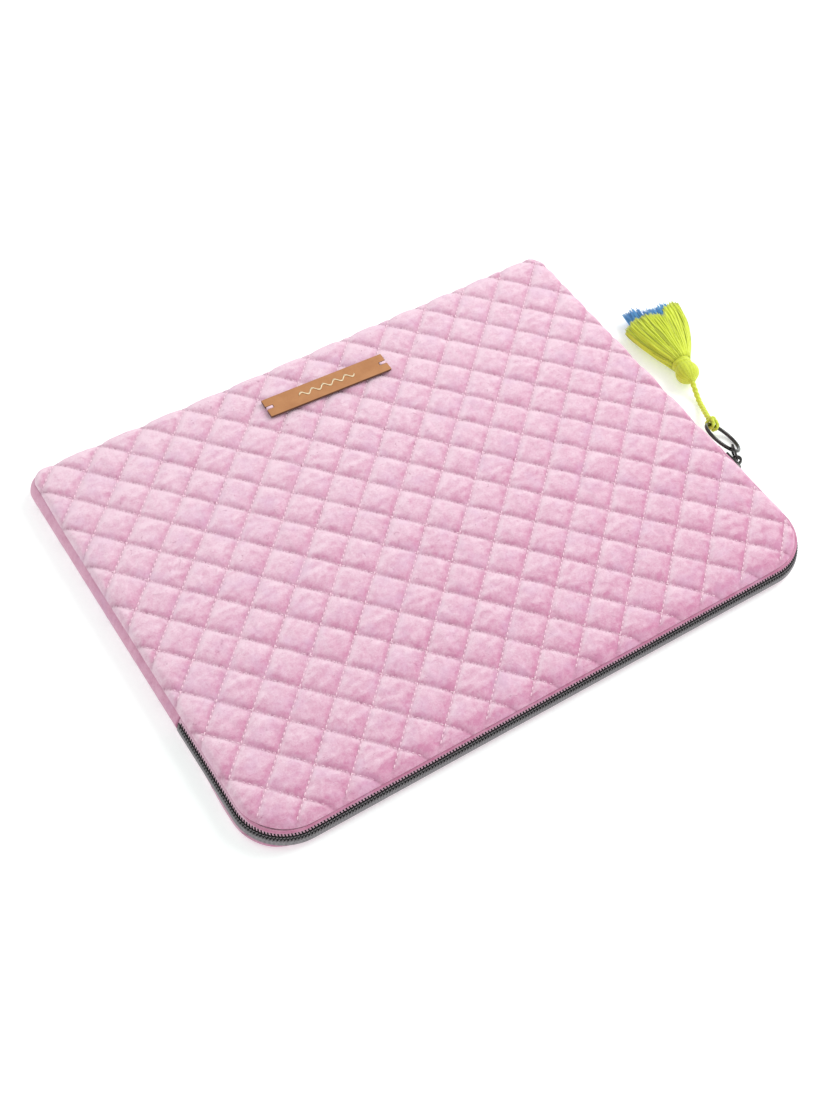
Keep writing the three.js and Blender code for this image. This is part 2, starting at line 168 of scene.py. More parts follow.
def normals_of(obj):
    """The direction that each vertex faces."""
    found = np.zeros(len(obj.data.vertices) * 3, np.float32)
    obj.data.vertices.foreach_get("normal", found)
    return found.reshape(-1, 3)


def tube(path, radius, sides, lobes=0, twist=0.0, depth=0.0):
    """A closed tube along path. Lobes give it that many plies, which turn by twist per millimetre."""
    path = np.asarray(path, float)
    tangents = np.gradient(path, axis=0)
    tangents /= np.linalg.norm(tangents, axis=1)[:, None]
    side = np.cross(tangents[0], [0, 0, 1.0])
    if np.linalg.norm(side) < 0.1:
        side = np.cross(tangents[0], [1.0, 0, 0])
    travelled = np.concatenate([[0], np.cumsum(np.linalg.norm(np.diff(path, axis=0), axis=1))])
    radii = np.broadcast_to(radius, len(path))
    angles = np.arange(sides) / sides * 2 * np.pi
    rings = []
    for point, tangent, run, size in zip(path, tangents, travelled, radii):
        side = side - (side @ tangent) * tangent
        side /= np.linalg.norm(side)
        up = np.cross(side, tangent)
        reach = np.full(sides, float(size))
        if lobes:
            reach *= 1 - depth + depth * np.abs(np.cos((angles - twist * run) * lobes / 2))
        outward = np.cos(angles)[:, None] * side + np.sin(angles)[:, None] * up
        rings.append(point + reach[:, None] * outward)
    faces = grid_faces(len(path), sides, closed=True)
    faces = [face[::-1] for face in faces]
    last = (len(path) - 1) * sides
    faces.append(list(range(sides)))
    faces.append([last + i for i in reversed(range(sides))])
    return np.concatenate(rings), faces


def curve_through(points, count):
    """A smooth curve through a few points (Catmull-Rom), as count points."""
    knots = np.asarray(points, float)
    knots = np.vstack([2 * knots[0] - knots[1], knots, 2 * knots[-1] - knots[-2]])
    spans = len(knots) - 3
    at = np.linspace(0, spans - 1e-9, count)
    i = at.astype(int)
    t = (at - i)[:, None]
    p0, p1, p2, p3 = (knots[i + k] for k in range(4))
    return 0.5 * (2 * p1 + (p2 - p0) * t + (2 * p0 - 5 * p1 + 4 * p2 - p3) * t**2
                  + (3 * p1 - p0 - 3 * p2 + p3) * t**3)


# ---------------------------------------------------------------- materials


def node(tree, kind, inputs=None, **settings):
    """A shader node. An input is a constant, or a socket that is joined to it."""
    made = tree.nodes.new("ShaderNode" + kind)
    for key, value in settings.items():
        setattr(made, key, value)
    for key, value in (inputs or {}).items():
        if isinstance(value, bpy.types.NodeSocket):
            tree.links.new(value, made.inputs[key])
        else:
            made.inputs[key].default_value = value
    return made


def maths(tree, operation, a, b, clamp=False):
    """The result of operation on a and b, each a number or a socket."""
    made = node(tree, "Math", {0: a, 1: b}, operation=operation, use_clamp=clamp)
    return made.outputs[0]


def noise_at(tree, scale, detail, roughness, stretch=(1, 1, 1), distortion=0.0):
    """Noise with scale bumps per metre."""
    where = node(tree, "TexCoord").outputs["Object"]
    placed = node(tree, "Mapping", {"Vector": where, "Scale": stretch}).outputs[0]
    made = node(tree, "TexNoise", {"Vector": placed, "Scale": scale, "Detail": detail,
                                   "Roughness": roughness, "Distortion": distortion})
    return made.outputs["Fac"]


def mix_colour(tree, factor, first, second):
    """The first colour where factor is 0, and the second where it is 1."""
    made = node(tree, "Mix", {0: factor, 6: first, 7: second}, data_type="RGBA")
    return made.outputs[2]


def colour(red, green, blue):
    """A linear colour from the 0 to 255 values of a screen."""
    def linear(value):
        value /= 255
        return value / 12.92 if value <= 0.04045 else ((value + 0.055) / 1.055) ** 2.4
    return (linear(red), linear(green), linear(blue), 1)


def material(name, base, **sockets):
    """A material and its node tree, with constants set on the shader's own sockets."""
    made = bpy.data.materials.new(name)
    made.use_nodes = True
    tree = made.node_tree
    shader = tree.nodes["Principled BSDF"]
    shader.inputs["Base Color"].default_value = base
    for key, value in sockets.items():
        shader.inputs[key.replace("_", " ")].default_value = value
    return made, tree, shader


def paint(tree, shader, factor, first, second):
    """Joins a mix of two colours to the shader."""
    tree.links.new(mix_colour(tree, factor, first, second), shader.inputs["Base Color"])


def roughen(tree, shader, factor, least, span):
    """Roughness is least where factor is 0, and span more where it is 1."""
    rough = maths(tree, "ADD", maths(tree, "MULTIPLY", factor, span), least)
    tree.links.new(rough, shader.inputs["Roughness"])


def bump(tree, shader, *layers):
    """Stacks bumps of (height, strength, distance in metres) and joins them to the shader."""
    normal = None
    for height, strength, distance in layers:
        inputs = {"Height": height, "Strength": strength, "Distance": distance}
        if normal is not None:
            inputs["Normal"] = normal
        normal = node(tree, "Bump", inputs).outputs[0]
    tree.links.new(normal, shader.inputs["Normal"])


def velvet(name, light, dark, deep, lilac):
    """Velvet of short nap: painted light makes it pale or dark by which way each face turns, painted shadow
    makes it deep in the seams, and it has crushed patches and small marks.
    """
    made, tree, shader = material(name, dark, Roughness=0.85, Specular_IOR_Level=0.12,
                                  Sheen_Weight=0.35, Sheen_Roughness=0.35,
                                  Sheen_Tint=(1.0, 0.90, 0.95, 1))
    # painted light: paler on faces turned to the back and on the rolled edge, darker on faces turned to the
    # front
    painted_light = node(tree, "Attribute", attribute_name="painted_light").outputs["Fac"]
    # painted shade in the seams' creases
    seam = node(tree, "Attribute", attribute_name="seam").outputs["Fac"]
    blotch = noise_at(tree, 120, 3, 0.55, distortion=0.3)
    crush = noise_at(tree, 330, 5, 0.68, distortion=0.6)
    grain = noise_at(tree, 1300, 3, 0.7)
    mark = noise_at(tree, 260, 4, 0.62, distortion=1.2)
    total = painted_light
    for patches, share in ((blotch, 0.7), (crush, 1.1), (grain, 0.75)):
        centred = maths(tree, "SUBTRACT", patches, 0.5)
        total = maths(tree, "ADD", total, maths(tree, "MULTIPLY", centred, share))
    total = maths(tree, "ADD", total, 0.0, clamp=True)
    tone = mix_colour(tree, total, dark, light)
    haze = noise_at(tree, 75, 3, 0.6)
    haze = node(tree, "MapRange", {"Value": haze, "From Min": 0.5, "From Max": 0.75}).outputs[0]
    tone = mix_colour(tree, maths(tree, "MULTIPLY", haze, 0.4), tone, lilac)
    # the painted seam shade and small pressed marks both draw the colour to deep
    pressed = node(tree, "MapRange", {"Value": mark, "From Min": 0.64, "From Max": 0.78}).outputs[0]
    seam_shadow_and_marks = maths(tree, "MULTIPLY", maths(tree, "MAXIMUM", seam, pressed), 0.7, clamp=True)
    paint(tree, shader, seam_shadow_and_marks, tone, deep)
    fuzz = noise_at(tree, 2600, 2, 0.7)
    bump(tree, shader, (blotch, 0.25, 0.0010), (crush, 0.45, 0.0007), (fuzz, 0.45, 0.0002))
    return made


def thread(name, base):
    """Spun thread: fine slanting fibres and a soft gloss."""
    made, tree, shader = material(name, base, Roughness=0.62, Sheen_Weight=0.25, Specular_IOR_Level=0.3)
    fibre = noise_at(tree, 2600, 2, 0.6, stretch=(1, 0.35, 1))
    dull = tuple(c * 0.78 for c in base[:3]) + (1,)
    paint(tree, shader, fibre, dull, base)
    bump(tree, shader, (fibre, 0.5, 0.00015))
    return made


def yarn(name, base, shadow, highlight):
    """Mercerised cotton: silky strands with painted shadow that turns them olive in the gaps, and painted
    highlights in fine specks.
    """
    made, tree, shader = material(name, base, Roughness=0.5, Sheen_Weight=0.35, Sheen_Roughness=0.4,
                                  Specular_IOR_Level=0.35)
    # a random tone on the cord, knot and binding; on the head and skirts also painted shade in the grooves
    # and deep inside
    yarn_tone_and_shade = node(tree, "Attribute", attribute_name="yarn_tone_and_shade").outputs["Fac"]
    fine = noise_at(tree, 1500, 3, 0.7)
    tone = mix_colour(tree, yarn_tone_and_shade, shadow, base)
    spark = maths(tree, "MULTIPLY", maths(tree, "SUBTRACT", fine, 0.42, clamp=True), 1.6, clamp=True)
    paint(tree, shader, spark, tone, highlight)
    bump(tree, shader, (fine, 0.6, 0.0002))
    return made


def woven(name, base, pale, count):
    """Plain weave of count threads per millimetre."""
    made, tree, shader = material(name, base, Roughness=0.8, Sheen_Weight=0.15, Specular_IOR_Level=0.2)
    where = node(tree, "TexCoord").outputs["Object"]
    heights = []
    for axis in ("X", "Y", "Z"):
        wave = node(tree, "TexWave", {"Vector": where, "Scale": count * 1000 / 20, "Distortion": 0.6,
                                      "Detail": 1.0, "Detail Scale": 4.0},
                    wave_type="BANDS", bands_direction=axis)
        heights.append(wave.outputs["Fac"])
    plan = maths(tree, "ADD", heights[0], heights[1])
    weave = maths(tree, "MULTIPLY", maths(tree, "ADD", plan, heights[2]), 0.33)
    cloud = noise_at(tree, 160, 3, 0.6)
    mixed = maths(tree, "ADD", maths(tree, "MULTIPLY", weave, 0.7), maths(tree, "MULTIPLY", cloud, 0.3))
    paint(tree, shader, mixed, base, pale)
    bump(tree, shader, (weave, 0.5, 0.0002))
    return made


def gunmetal(name):
    """Dark polished metal, worn paler in places."""
    made, tree, shader = material(name, colour(70, 68, 68), Metallic=1.0, Roughness=0.2)
    wear = noise_at(tree, 260, 4, 0.65)
    scratch = noise_at(tree, 900, 2, 0.5, stretch=(1, 6, 1))
    paint(tree, shader, wear, colour(52, 50, 51), colour(88, 86, 84))
    roughen(tree, shader, wear, 0.10, 0.16)
    bump(tree, shader, (scratch, 0.12, 0.00008))
    return made


def nylon(name):
    """Black moulded coil, slightly glossy."""
    made, tree, shader = material(name, colour(12, 12, 13), Roughness=0.4, Specular_IOR_Level=0.1)
    mark = noise_at(tree, 900, 3, 0.6)
    paint(tree, shader, mark, colour(6, 6, 7), colour(24, 23, 25))
    roughen(tree, shader, mark, 0.22, 0.25)
    bump(tree, shader, (mark, 0.2, 0.0001))
    return made


def leather(name):
    """Smooth tan leather with fine pores and dark burnished sides."""
    made, tree, shader = material(name, colour(190, 130, 82), Roughness=0.5, Specular_IOR_Level=0.4)
    cell = node(tree, "TexVoronoi", {"Vector": node(tree, "TexCoord").outputs["Object"], "Scale": 1500.0,
                                     "Randomness": 1.0}, feature="DISTANCE_TO_EDGE")
    grain = node(tree, "MapRange", {"Value": cell.outputs["Distance"], "From Min": 0.0, "From Max": 0.12})
    cloud = noise_at(tree, 120, 4, 0.6)
    fine = noise_at(tree, 700, 3, 0.6)
    tone = mix_colour(tree, cloud, colour(172, 113, 68), colour(204, 147, 98))
    tone = mix_colour(tree, maths(tree, "MULTIPLY", fine, 0.25), tone, colour(150, 96, 56))
    facing = node(tree, "SeparateXYZ", {0: node(tree, "NewGeometry").outputs["Normal"]}).outputs["Z"]
    edge = node(tree, "MapRange", {"Value": facing, "From Min": 0.97, "From Max": 0.55}).outputs[0]
    paint(tree, shader, edge, tone, colour(96, 60, 36))
    roughen(tree, shader, fine, 0.36, 0.25)
    bump(tree, shader, (cloud, 0.15, 0.0006), (grain.outputs[0], 0.25, 0.00008))
    return made


def foil(name):
    """Pale gold foil."""
    made, tree, shader = material(name, colour(246, 226, 186), Metallic=0.35, Roughness=0.4)
    speck = noise_at(tree, 1300, 2, 0.6)
    paint(tree, shader, speck, colour(232, 205, 158), colour(252, 238, 208))
    bump(tree, shader, (speck, 0.2, 0.00005))
    return made


def fluff(name):
    """Wadding: matted white fibres."""
    made, tree, shader = material(name, colour(240, 238, 233), Roughness=0.95, Sheen_Weight=0.3)
    fibre = noise_at(tree, 700, 5, 0.75, distortion=1.5)
    paint(tree, shader, fibre, colour(222, 219, 212), colour(250, 249, 246))
    bump(tree, shader, (fibre, 0.7, 0.0008))
    return made


def floor_material():
    """The white table, lit a little from within so that it stays white."""
    made, _, _ = material("floor", (0.86, 0.91, 0.89, 1), Roughness=0.9, Specular_IOR_Level=0.1,
                          Emission_Color=(1, 1, 1, 1), Emission_Strength=0.30)
    return made


# ---------------------------------------------------------------- plan outline


def outline_table():
    """The plan outline, counter-clockwise from the middle of the front edge.
    The first array holds the run along it, the second x, y and the outward direction."""
    rows = [(0, -HALF_DEPTH, 0, -1)]
    corners = [(1, -1, FRONT_RADIUS, -90), (1, 1, BACK_RADIUS, 0),
               (-1, 1, BACK_RADIUS, 90), (-1, -1, FRONT_RADIUS, 180)]
    for side, end, radius, first in corners:
        centre_x, centre_y = side * (HALF_WIDTH - radius), end * (HALF_DEPTH - radius)
        for angle in np.radians(np.linspace(first, first + 90, 91)):
            out_x, out_y = math.cos(angle), math.sin(angle)
            rows.append((centre_x + radius * out_x, centre_y + radius * out_y, out_x, out_y))
    rows.append(rows[0])
    rows = np.array(rows)
    steps = np.hypot(*np.diff(rows[:, :2], axis=0).T)
    return np.concatenate([[0], np.cumsum(steps)]), rows


RUNS, ROWS = outline_table()
AROUND = RUNS[-1]
LEFT_FRONT = AROUND - ZIP_HALF + ZIP_SIDE  # runs at the ends of the straight left side
LEFT_BACK = LEFT_FRONT - (2 * HALF_DEPTH - FRONT_RADIUS - BACK_RADIUS)


def at_edge(run, inset, z):
    """Points on the wall: run along the outline, inset inwards from it, height z."""
    run, inset, z = np.broadcast_arrays(np.asarray(run, float) % AROUND, inset, z)
    x, y, out_x, out_y = (np.interp(run, RUNS, ROWS[:, k]) for k in range(4))
    return np.stack([x - inset * out_x, y - inset * out_y, z], axis=-1)


def lean(z):
    """How far the wall leans in at height z."""
    return SEAM_INSET * ((z - WIDEST_Z) / (SEAM_Z - WIDEST_Z)) ** 2


def patch(inset, step):
    """Grid of plan points that fills the outline at inset, and the runs of its four sides."""
    front_middle = HALF_WIDTH - FRONT_RADIUS + FRONT_RADIUS * math.pi / 4
    side = 2 * HALF_DEPTH - FRONT_RADIUS - BACK_RADIUS + (FRONT_RADIUS + BACK_RADIUS) * math.pi / 4
    columns = int(2 * front_middle / step)
    rows = int(side / step)
    across, along = np.linspace(0, 1, columns + 1), np.linspace(0, 1, rows + 1)
    front = -front_middle + 2 * front_middle * across
    right = front_middle + side * along
    left = -front_middle - side * along
    back = left[-1] + AROUND - (left[-1] + AROUND - right[-1]) * across
    a, b, c, d = (at_edge(run, inset, 0)[:, :2] for run in (front, right, back, left))
    u, v = across[None, :, None], along[:, None, None]
    grid = (1 - v) * a[None] + v * c[None] + (1 - u) * d[:, None] + u * b[:, None]
    grid -= (1 - u) * (1 - v) * a[0] + u * (1 - v) * a[-1] + (1 - u) * v * c[0] + u * v * c[-1]
    return grid, np.concatenate([front[:-1], right[:-1], back[::-1][:-1], left[::-1][:-1]])


def border(rows, columns):
    """Indices of a grid's border, counter-clockwise from its first corner."""
    index = np.arange(rows * columns).reshape(rows, columns)
    return np.concatenate([index[0, :-1], index[:-1, -1], index[-1, :0:-1], index[:0:-1, 0]])


# ---------------------------------------------------------------- quilting

PLUMP = np.random.default_rng(7).uniform(0.82, 1.14, 997)  # how full the pillows are


def quilt_place(x, y):
    """Numbers that are whole on the seams of either direction."""
    px, py = x - QUILT_X, y - QUILT_Y
    size = STEP_X * STEP_Y + SKEW_X * SKEW_Y
    u = (px * STEP_Y - py * SKEW_X) / size
    v = (py * STEP_X + px * SKEW_Y) / size
    return (u + v) / 2, (u - v) / 2


def quilt_point(a, b):
    """The place with these two numbers."""
    u, v = a + b, a - b
    return QUILT_X + STEP_X * u + SKEW_X * v, QUILT_Y + STEP_Y * v - SKEW_Y * u


def seam_shade(x, y):
    """Painted shadow by nearness to a seam: 1 in the first direction's, 0.4 in the second's."""
    far_a, far_b = (np.abs(k - np.round(k)) * SEAM_SPACING for k in quilt_place(x, y))
    return np.maximum(np.exp(-far_a / 0.55), 0.4 * np.exp(-far_b / 0.6))


def drop(x, y, creased=1.0):
    """How far the quilted face lies below the crown of its pillows, as a share of PILLOW."""
    a, b = quilt_place(x, y)
    far_a, far_b = (np.abs(k - np.round(k)) * SEAM_SPACING for k in (a, b))
    domes = [1 - np.clip(1 - far / (SEAM_SPACING / 2), 0, 1) ** 3.0 for far in (far_a, far_b)]
    creases = [1 - np.exp(-far / 0.7) for far in (far_a, far_b)]
    cell = np.floor(a).astype(int) * 37 + np.floor(b).astype(int) * 61
    full = np.take(PLUMP, cell % len(PLUMP))
    height = 0.50 * full * domes[0] * domes[1] + 0.36 * creases[0] * creases[1]
    height += 0.14 * np.maximum(*domes)
    # puckers along the seams, then a few folds and dents across each pillow
    wrinkles = 0
    for k, (far, along, seam) in enumerate(((far_a, b, np.round(a)), (far_b, a, np.round(b)))):
        pucker = smooth_noise(along * SEAM_SPACING / 2.0 + seam * 7.3, seam * 3.1 + far / 7, 5 + k)
        wrinkles = wrinkles + 0.32 * pucker * np.exp(-far / 3.0) * (1 - np.exp(-far / 0.5))
    turn = np.take(PLUMP, (cell + 17) % len(PLUMP)) > 1
    slant = np.where(turn, a - b, a + b) * SEAM_SPACING
    other = np.where(turn, a + b, a - b) * SEAM_SPACING
    inside = np.sqrt(np.clip(domes[0] * domes[1], 0, 1))
    folds = smooth_noise(slant / 5.5 + cell * 0.37, other / 16, 3)
    dents = smooth_noise(x / 4.2, y / 4.2, 9) + 0.6 * smooth_noise(x / 2.1, y / 2.1, 11)
    wrinkles = wrinkles + inside * (0.22 * folds + 0.09 * dents)
    return 1 - height - creased * wrinkles


def inset_of(x, y):
    """How far inside the outline a point lies."""
    radius = np.where(y < 0, FRONT_RADIUS, BACK_RADIUS)
    out_x = np.abs(x) - (HALF_WIDTH - radius)
    out_y = np.abs(y) - (HALF_DEPTH - radius)
    corner = (out_x > 0) & (out_y > 0)
    return radius - np.where(corner, np.hypot(out_x, out_y), np.maximum(out_x, out_y))


def top_z(x, y):
    """Height of the quilted top, which rolls down towards its edge."""
    sag = 0.2 * smooth_noise(x / 70, y / 70, 21)
    inset = inset_of(x, y)
    pillows = PILLOW * drop(x, y) * smoothstep(2.6, 5.0, inset)
    return TOP_CROWN + sag - pillows - np.interp(inset, *zip(*ROLL))


def bottom_z(x, y):
    """Height of the quilted underside, which the table presses flat."""
    return np.maximum(1.1 * (drop(x, y, 0.5) - 0.42), 0) + FLOOR_GAP


def overhang(runs):
    """1 on the left-hand side, where the top panel sags over the zip, and 0 elsewhere."""
    runs = runs % AROUND
    return smoothstep(LEFT_BACK, LEFT_BACK + 40, runs) * smoothstep(LEFT_FRONT + 22, LEFT_FRONT, runs)


def spread(runs):
    """1 round the front left corner, where the underside spreads out, and 0 elsewhere."""
    runs = runs % AROUND
    rising = smoothstep(LEFT_FRONT - 40, LEFT_FRONT - 5, runs)
    return rising * smoothstep(LEFT_FRONT + 44, LEFT_FRONT + 18, runs)


def at_front(runs):
    """1 along the front edge and 0 along the others."""
    from_front = np.abs((runs + AROUND / 2) % AROUND - AROUND / 2)
    return smoothstep(HALF_WIDTH, HALF_WIDTH - 40, from_front)


def panel(name, face_z, rings, inner_z, way, material):
    """A quilted panel: a fine face, its rolled edge ring by ring, and a flat inner side.
    A ring is (inset, z, share of the quilting that shows); way is 1 for a top and -1 for an underside."""
    grid, runs = patch(BAND, MESH_STEP)
    rows, columns = grid.shape[:2]
    x, y = grid[..., 0].ravel(), grid[..., 1].ravel()
    points = [np.stack([x, y, face_z(x, y)], axis=-1)]
    faces = grid_faces(rows, columns)
    loops = [border(rows, columns)]
    count = rows * columns
    for inset, z, share in rings:
        if way > 0:
            sag = overhang(runs) * OVERHANG + at_front(runs) * FRONT_SAG
            inset = inset - sag * math.exp(-((z - SAG_Z) / SAG_SPAN) ** 2)
        else:
            drawn_in = FRONT_TUCK * at_front(runs) - LEFT_SPREAD * spread(runs)
            inset = inset + drawn_in * smoothstep(3.5, 0.5, inset)
        # the quilting carries on round the edge
        at = at_edge(runs, inset, z)
        deep = drop(at[:, 0], at[:, 1]) - 0.45
        at = at_edge(runs, inset + 0.9 * share * deep, z - way * 1.3 * share * deep)
        points.append(at)
        loops.append(count + np.arange(len(runs)))
        count += len(runs)
    after = np.roll(np.arange(len(runs)), -1)
    for outer, inner in zip(loops[:-1], loops[1:]):
        faces += np.stack([outer, inner, inner[after], outer[after]], axis=-1).tolist()
    points[-1][:, 2] = inner_z
    # the inner side: strips from left to right, and one face at the front and one at the back
    last = loops[-1]
    right = last[columns - 1:columns - 1 + rows]
    left = np.concatenate([last[:1], last[::-1][:rows - 1]])
    for j in range(rows - 1):
        faces.append([left[j], left[j + 1], right[j + 1], right[j]])
    faces.append(last[:columns][::-1].tolist())
    faces.append(last[columns + rows - 2:2 * columns + rows - 2][::-1].tolist())
    return make(name, np.concatenate(points), faces, material)


def painted_light_values(obj, quilted):
    """Painted light, 0 to 1: paler where a face turns to the back and on the rolled edge; and the painted
    shadow of the nearest seam.
    """
    points = np.zeros(len(obj.data.vertices) * 3, np.float32)
    obj.data.vertices.foreach_get("co", points)
    x, y = (points.reshape(-1, 3) / MM).T[:2]
    # faces turned to the back get painted light and faces turned to the front painted shade; the rolled
    # edge is paler, and the whole panel a little paler towards the back and the left
    facing = np.maximum(normals_of(obj)[:, 1], -0.26)
    edge = smoothstep(6.5, 3.5, inset_of(x, y))
    painted_light = 0.64 + 1.5 * facing + 0.12 * edge + 0.17 * y / HALF_DEPTH - 0.02 * x / HALF_WIDTH
    add_values(obj, "painted_light", np.clip(painted_light, -0.1, 1.05))
    add_values(obj, "seam", quilted * seam_shade(x, y))


def thread_dashes(name, surface, way, inset, material):
    """Lock stitches along every seam: one small rounded dash each, its ends drawn down into the cloth."""
    starts, ends, sunk = [], [], []
    for first in (True, False):
        for seam in range(-20, 30):
            other = np.arange(-30, 30, STITCH_PITCH / SEAM_SPACING) + seam * 0.03
            sunk.append(np.full(len(other), SUNK_FIRST if first else SUNK_SECOND))
            for shift, kept in ((0, starts), (STITCH_LENGTH / SEAM_SPACING, ends)):
                whole = np.full_like(other, seam)
                pair = (whole, other + shift) if first else (other + shift, whole)
                kept.append(np.stack(quilt_point(*pair), axis=-1))
    start, end, sunk = np.concatenate(starts), np.concatenate(ends), np.concatenate(sunk)
    inside = np.minimum(inset_of(*start.T), inset_of(*end.T)) > inset
    start, end, sunk = start[inside], end[inside], sunk[inside]
    start = np.column_stack([start, surface(*start.T)])
    end = np.column_stack([end, surface(*end.T)])
    forward = end - start
    forward /= np.linalg.norm(forward, axis=1)[:, None]
    across = np.cross(forward, [0, 0, 1.0])
    across /= np.linalg.norm(across, axis=1)[:, None]
    up = np.cross(across, forward) * way
    rings = []
    angles = np.arange(6) / 6 * 2 * np.pi
    for share, lift, radius in ((0.0, -0.35, 0.16), (0.16, 0.24, 0.34), (0.5, 0.38, 0.40),
                                (0.84, 0.24, 0.34), (1.0, -0.35, 0.16)):
        centre = start + (end - start) * share + up * (lift - sunk[:, None])
        for angle in angles:
            rings.append(centre + radius * (math.cos(angle) * across + math.sin(angle) * up))
    points = np.stack(rings, axis=1)
    each = points.shape[1]
    # one stitch: five rings of six points, and two quads across either end
    caps = np.array([[0, 1, 2, 3], [3, 4, 5, 0], [27, 26, 25, 24], [24, 29, 28, 27]])
    pattern = np.concatenate([np.array(grid_faces(5, 6, closed=True)), caps])
    faces = (pattern[None] + (np.arange(len(start)) * each)[:, None, None]).reshape(-1, 4)
    return make(name, points.reshape(-1, 3), faces.tolist(), material)


def uneven(z, swell=0.0, across=1, along=1, seed=0):
    """A height near z as a function of x and y, with soft bumps across by along millimetres."""
    return lambda x, y: z + swell * smooth_noise(x / across, y / along, seed)


def layer(name, inset, low, high, step, material):
    """A closed sheet of stuff between two heights, each a function of x and y."""
    grid, _ = patch(inset, step)
    rows, columns = grid.shape[:2]
    x, y = grid[..., 0].ravel(), grid[..., 1].ravel()
    size = rows * columns
    points = np.concatenate([np.stack([x, y, high(x, y)], axis=-1), np.stack([x, y, low(x, y)], axis=-1)])
    upper = np.array(grid_faces(rows, columns))
    edge = border(rows, columns)
    after = np.roll(edge, -1)
    wall = np.stack([edge, edge + size, after + size, after], axis=-1)
    faces = np.concatenate([upper, (upper + size)[:, ::-1], wall])
    return make(name, points, faces.tolist(), material)


# ---------------------------------------------------------------- strips round the wall


def sweep(name, runs, profile, material):
    """A solid strip whose closed cross-section is profile, (inset, z) pairs, or a function of the run."""
    shape = np.asarray(profile(runs) if callable(profile) else np.tile(profile, (len(runs), 1, 1)), float)
    points = at_edge(runs[:, None], shape[..., 0], shape[..., 1])
    sides = shape.shape[1]
    faces = grid_faces(len(runs), sides, closed=True)
    faces.append(list(range(sides))[::-1])
    faces.append([(len(runs) - 1) * sides + k for k in range(sides)])
    return make(name, points.reshape(-1, 3), faces, material)


def strip_profile(outer, inner, low, high):
    """Cross-section of a strip that leans with the wall, with eased edges."""
    z = np.linspace(low, high, 7)
    ease = np.zeros(len(z))
    ease[[0, -1]] = 0.12 * (high - low)
    front = np.column_stack([outer + ease + lean(z), z])
    behind = np.column_stack([inner - ease * 0.5 + lean(z), z])[::-1]
    return np.concatenate([front, behind])


def teeth(name, up, shift, back, material):
    """One row of the zip: a nylon coil whose turns are the teeth, up (1) or down (-1) from the middle.
    Each turn reaches past the middle on the outside, comes back behind itself and turns round at back."""
    per_turn = 14
    t = np.arange(int(2 * COIL_HALF / PITCH) * per_turn + 1) / per_turn
    part = t % 1
    swing = np.cos(2 * np.pi * t)
    swing = np.sign(swing) * np.abs(swing) ** 0.8
    reach = (back + COIL_HEAD) / 2 + (back - COIL_HEAD) / 2 * swing
    side = np.sin(2 * np.pi * t)
    turns = np.floor(t) + smoothstep(0.72, 1.0, part) + shift - 0.35 * swing
    run = -COIL_HALF + turns * PITCH
    z = COIL_MID_Z + up * reach
    inset = 0.85 - 0.5 * np.sign(side) * np.abs(side) ** 0.5 + lean(z)
    points, faces = tube(at_edge(run, inset, z), COIL_WIRE, sides=6)
    return make(name, points, faces, material)


def running_thread(name, z, material):
    """Row of sewing thread that holds a coil to its tape, over each turn and down between turns."""
    run = np.arange(0.2 - COIL_HALF, COIL_HALF - 0.2, PITCH / 6)
    wave = np.cos(run / PITCH * 2 * np.pi)
    at = z + 0.12 * np.sin(run / PITCH * 2 * np.pi)
    points, faces = tube(at_edge(run, 0.22 - 0.24 * wave + lean(at), at), LOCK_THREAD, sides=6)
    return make(name, points, faces, material)


def gusset_profile(runs):
    """The wall behind the zip: a soft, slightly uneven swell from the bottom panel to the top one."""
    z = np.array([3.55, 3.9, 4.8, 6.0, 7.4, 8.8, 10.2, 11.5, 12.6, 13.2])
    outer = np.array([1.5, 0.6, 0.0, -0.25, -0.2, 0.1, 0.7, 1.5, 2.3, 3.0])
    inner = np.array([2.0, 1.7, 1.55, 1.6, 1.75, 1.95, 2.3, 2.7, 3.1, 3.5])
    wave = smooth_noise(runs[:, None] / 9, z[None] / 5, 31)
    wave = wave + 0.5 * smooth_noise(runs[:, None] / 3.2, z[None] / 3, 33)
    front = np.minimum(outer + 0.35 * wave, inner - 0.35)
    behind = np.broadcast_to(inner[::-1], front.shape)
    high = np.broadcast_to(z, front.shape)
    return np.stack([np.concatenate([front, behind], axis=1),
                     np.concatenate([high, high[:, ::-1]], axis=1)], axis=-1)


def lower_tape_profile():
    """The lower tape rolls out round the bottom panel's edge."""
    z = np.array([2.8, 3.2, 4.0, 5.0, 6.0, 6.8, 7.4])
    front = np.array([0.2, -0.2, -0.3, -0.1, 0.25, 0.45, 0.55])
    behind = np.array([0.5, 0.3, 0.3, 0.7, 1.3, 1.5, 1.5])
    return np.concatenate([np.column_stack([front, z]), np.column_stack([behind, z])[::-1]])


def lip_profile(runs):
    """The velvet roll over the upper teeth, drawn in on the left and lifted over the slider."""
    angle = np.linspace(0, 2 * np.pi, 13)[:-1]
    wave = 0.12 * smooth_noise(runs[:, None] / 6, np.zeros((1, 1)), 41) + 1.1 * overhang(runs)[:, None]
    inset = 0.75 + lean(12.3) + 1.0 * np.cos(angle)[None] + wave
    over_slider = smoothstep(18, 9, np.abs(runs - SLIDER_RUN))[:, None]
    z = 12.25 + 0.4 * over_slider + 1.02 * np.sin(angle)[None]
    return np.stack([inset, z], axis=-1)


# ---------------------------------------------------------------- camera and light

LENS = 52.8
CAMERA_AT = (-305.5, -437.7, 695.8)
CAMERA_AIM = (-10.9, -12.8, 0)
CAMERA_ROLL = 2.87  # degrees


